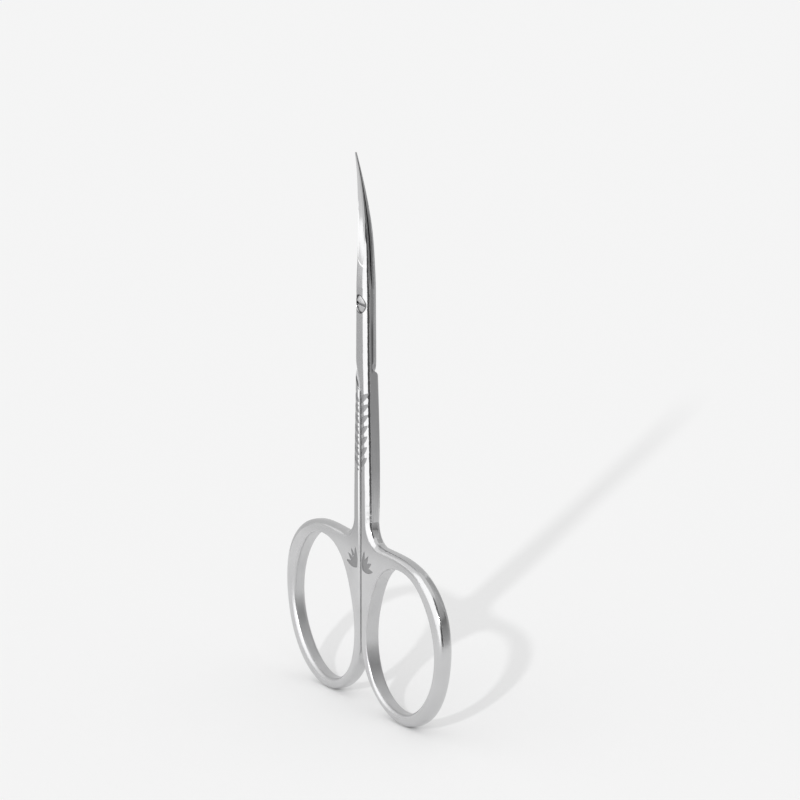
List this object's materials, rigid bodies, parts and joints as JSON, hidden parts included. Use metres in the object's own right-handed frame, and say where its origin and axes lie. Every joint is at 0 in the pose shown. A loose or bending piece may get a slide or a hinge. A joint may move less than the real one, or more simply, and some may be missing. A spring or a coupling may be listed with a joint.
{
  "type": "cuticle scissors",
  "caption": "Slender all-steel cuticle scissors with short curved blades, long shanks and oval finger rings, pivoting on a slotted screw.",
  "frame": {"origin": "where the pivot axis meets the plane of the flat back faces", "axes": "+Z along the closed scissors towards the blade tips, +Y out of the back face, +X towards the front half's ring"},
  "size_m": [0.0543, 0.0035, 0.0988],
  "materials": {
    "satin_steel": "satin-polished stainless steel with ground blade facets and matte etched leaves",
    "screw_steel": "turned stainless steel with a cut slot"
  },
  "bodies": {
    "rear": {"rear_half": "satin_steel", "pivot_screw": "screw_steel"},
    "front": {"front_half": "satin_steel"}
  },
  "joints": [
    {"name": "pivot", "type": "hinge", "parent": "rear", "child": "front", "pos_m": [0, -0.0013, 0], "axis": [0, -1, 0], "range_deg": [0, 60]}
  ]
}
